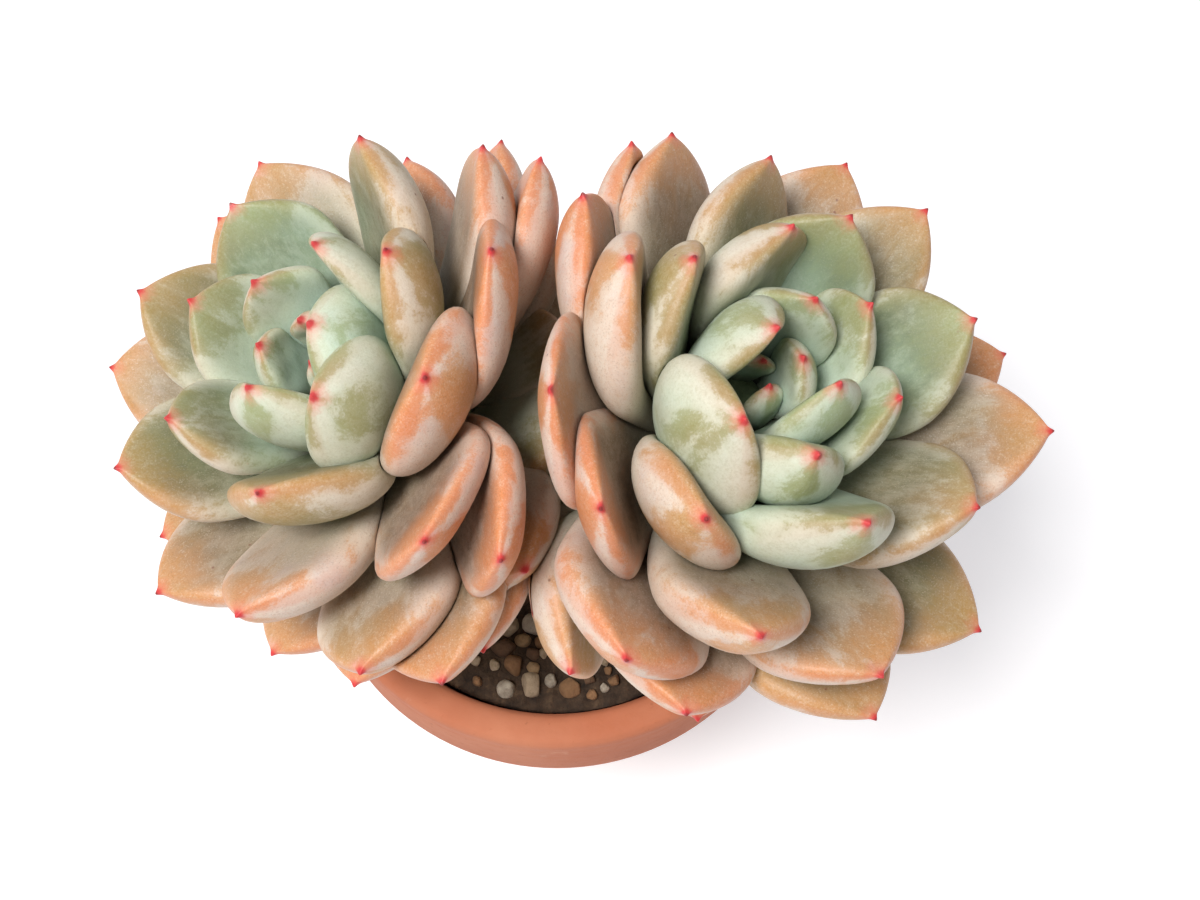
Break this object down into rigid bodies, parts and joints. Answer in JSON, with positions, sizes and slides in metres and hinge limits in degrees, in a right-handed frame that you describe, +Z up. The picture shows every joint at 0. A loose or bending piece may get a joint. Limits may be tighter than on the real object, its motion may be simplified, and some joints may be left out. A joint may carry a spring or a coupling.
{
  "type": "potted succulent",
  "caption": "Succulent with crowded rosettes of thick, spoon-shaped, pointed leaves on a forked woody stem, growing in a small plain clay pot filled with soil.",
  "frame": {"origin": "the middle of the pot's flat underside, on the surface that the pot stands on", "axes": "+Z up; +X toward the larger rosette, which is on the right from the front; -Y the front, the side the picture is taken from"},
  "size_m": [0.1151, 0.0749, 0.1188],
  "materials": {
    "clay": "matte",
    "soil": "matte",
    "bark": "matte",
    "leaf": "satin"
  },
  "bodies": {
    "root": {"pot": "clay", "soil": "soil", "stem": "bark", "head_left": "leaf", "head_right": "leaf"}
  },
  "joints": []
}
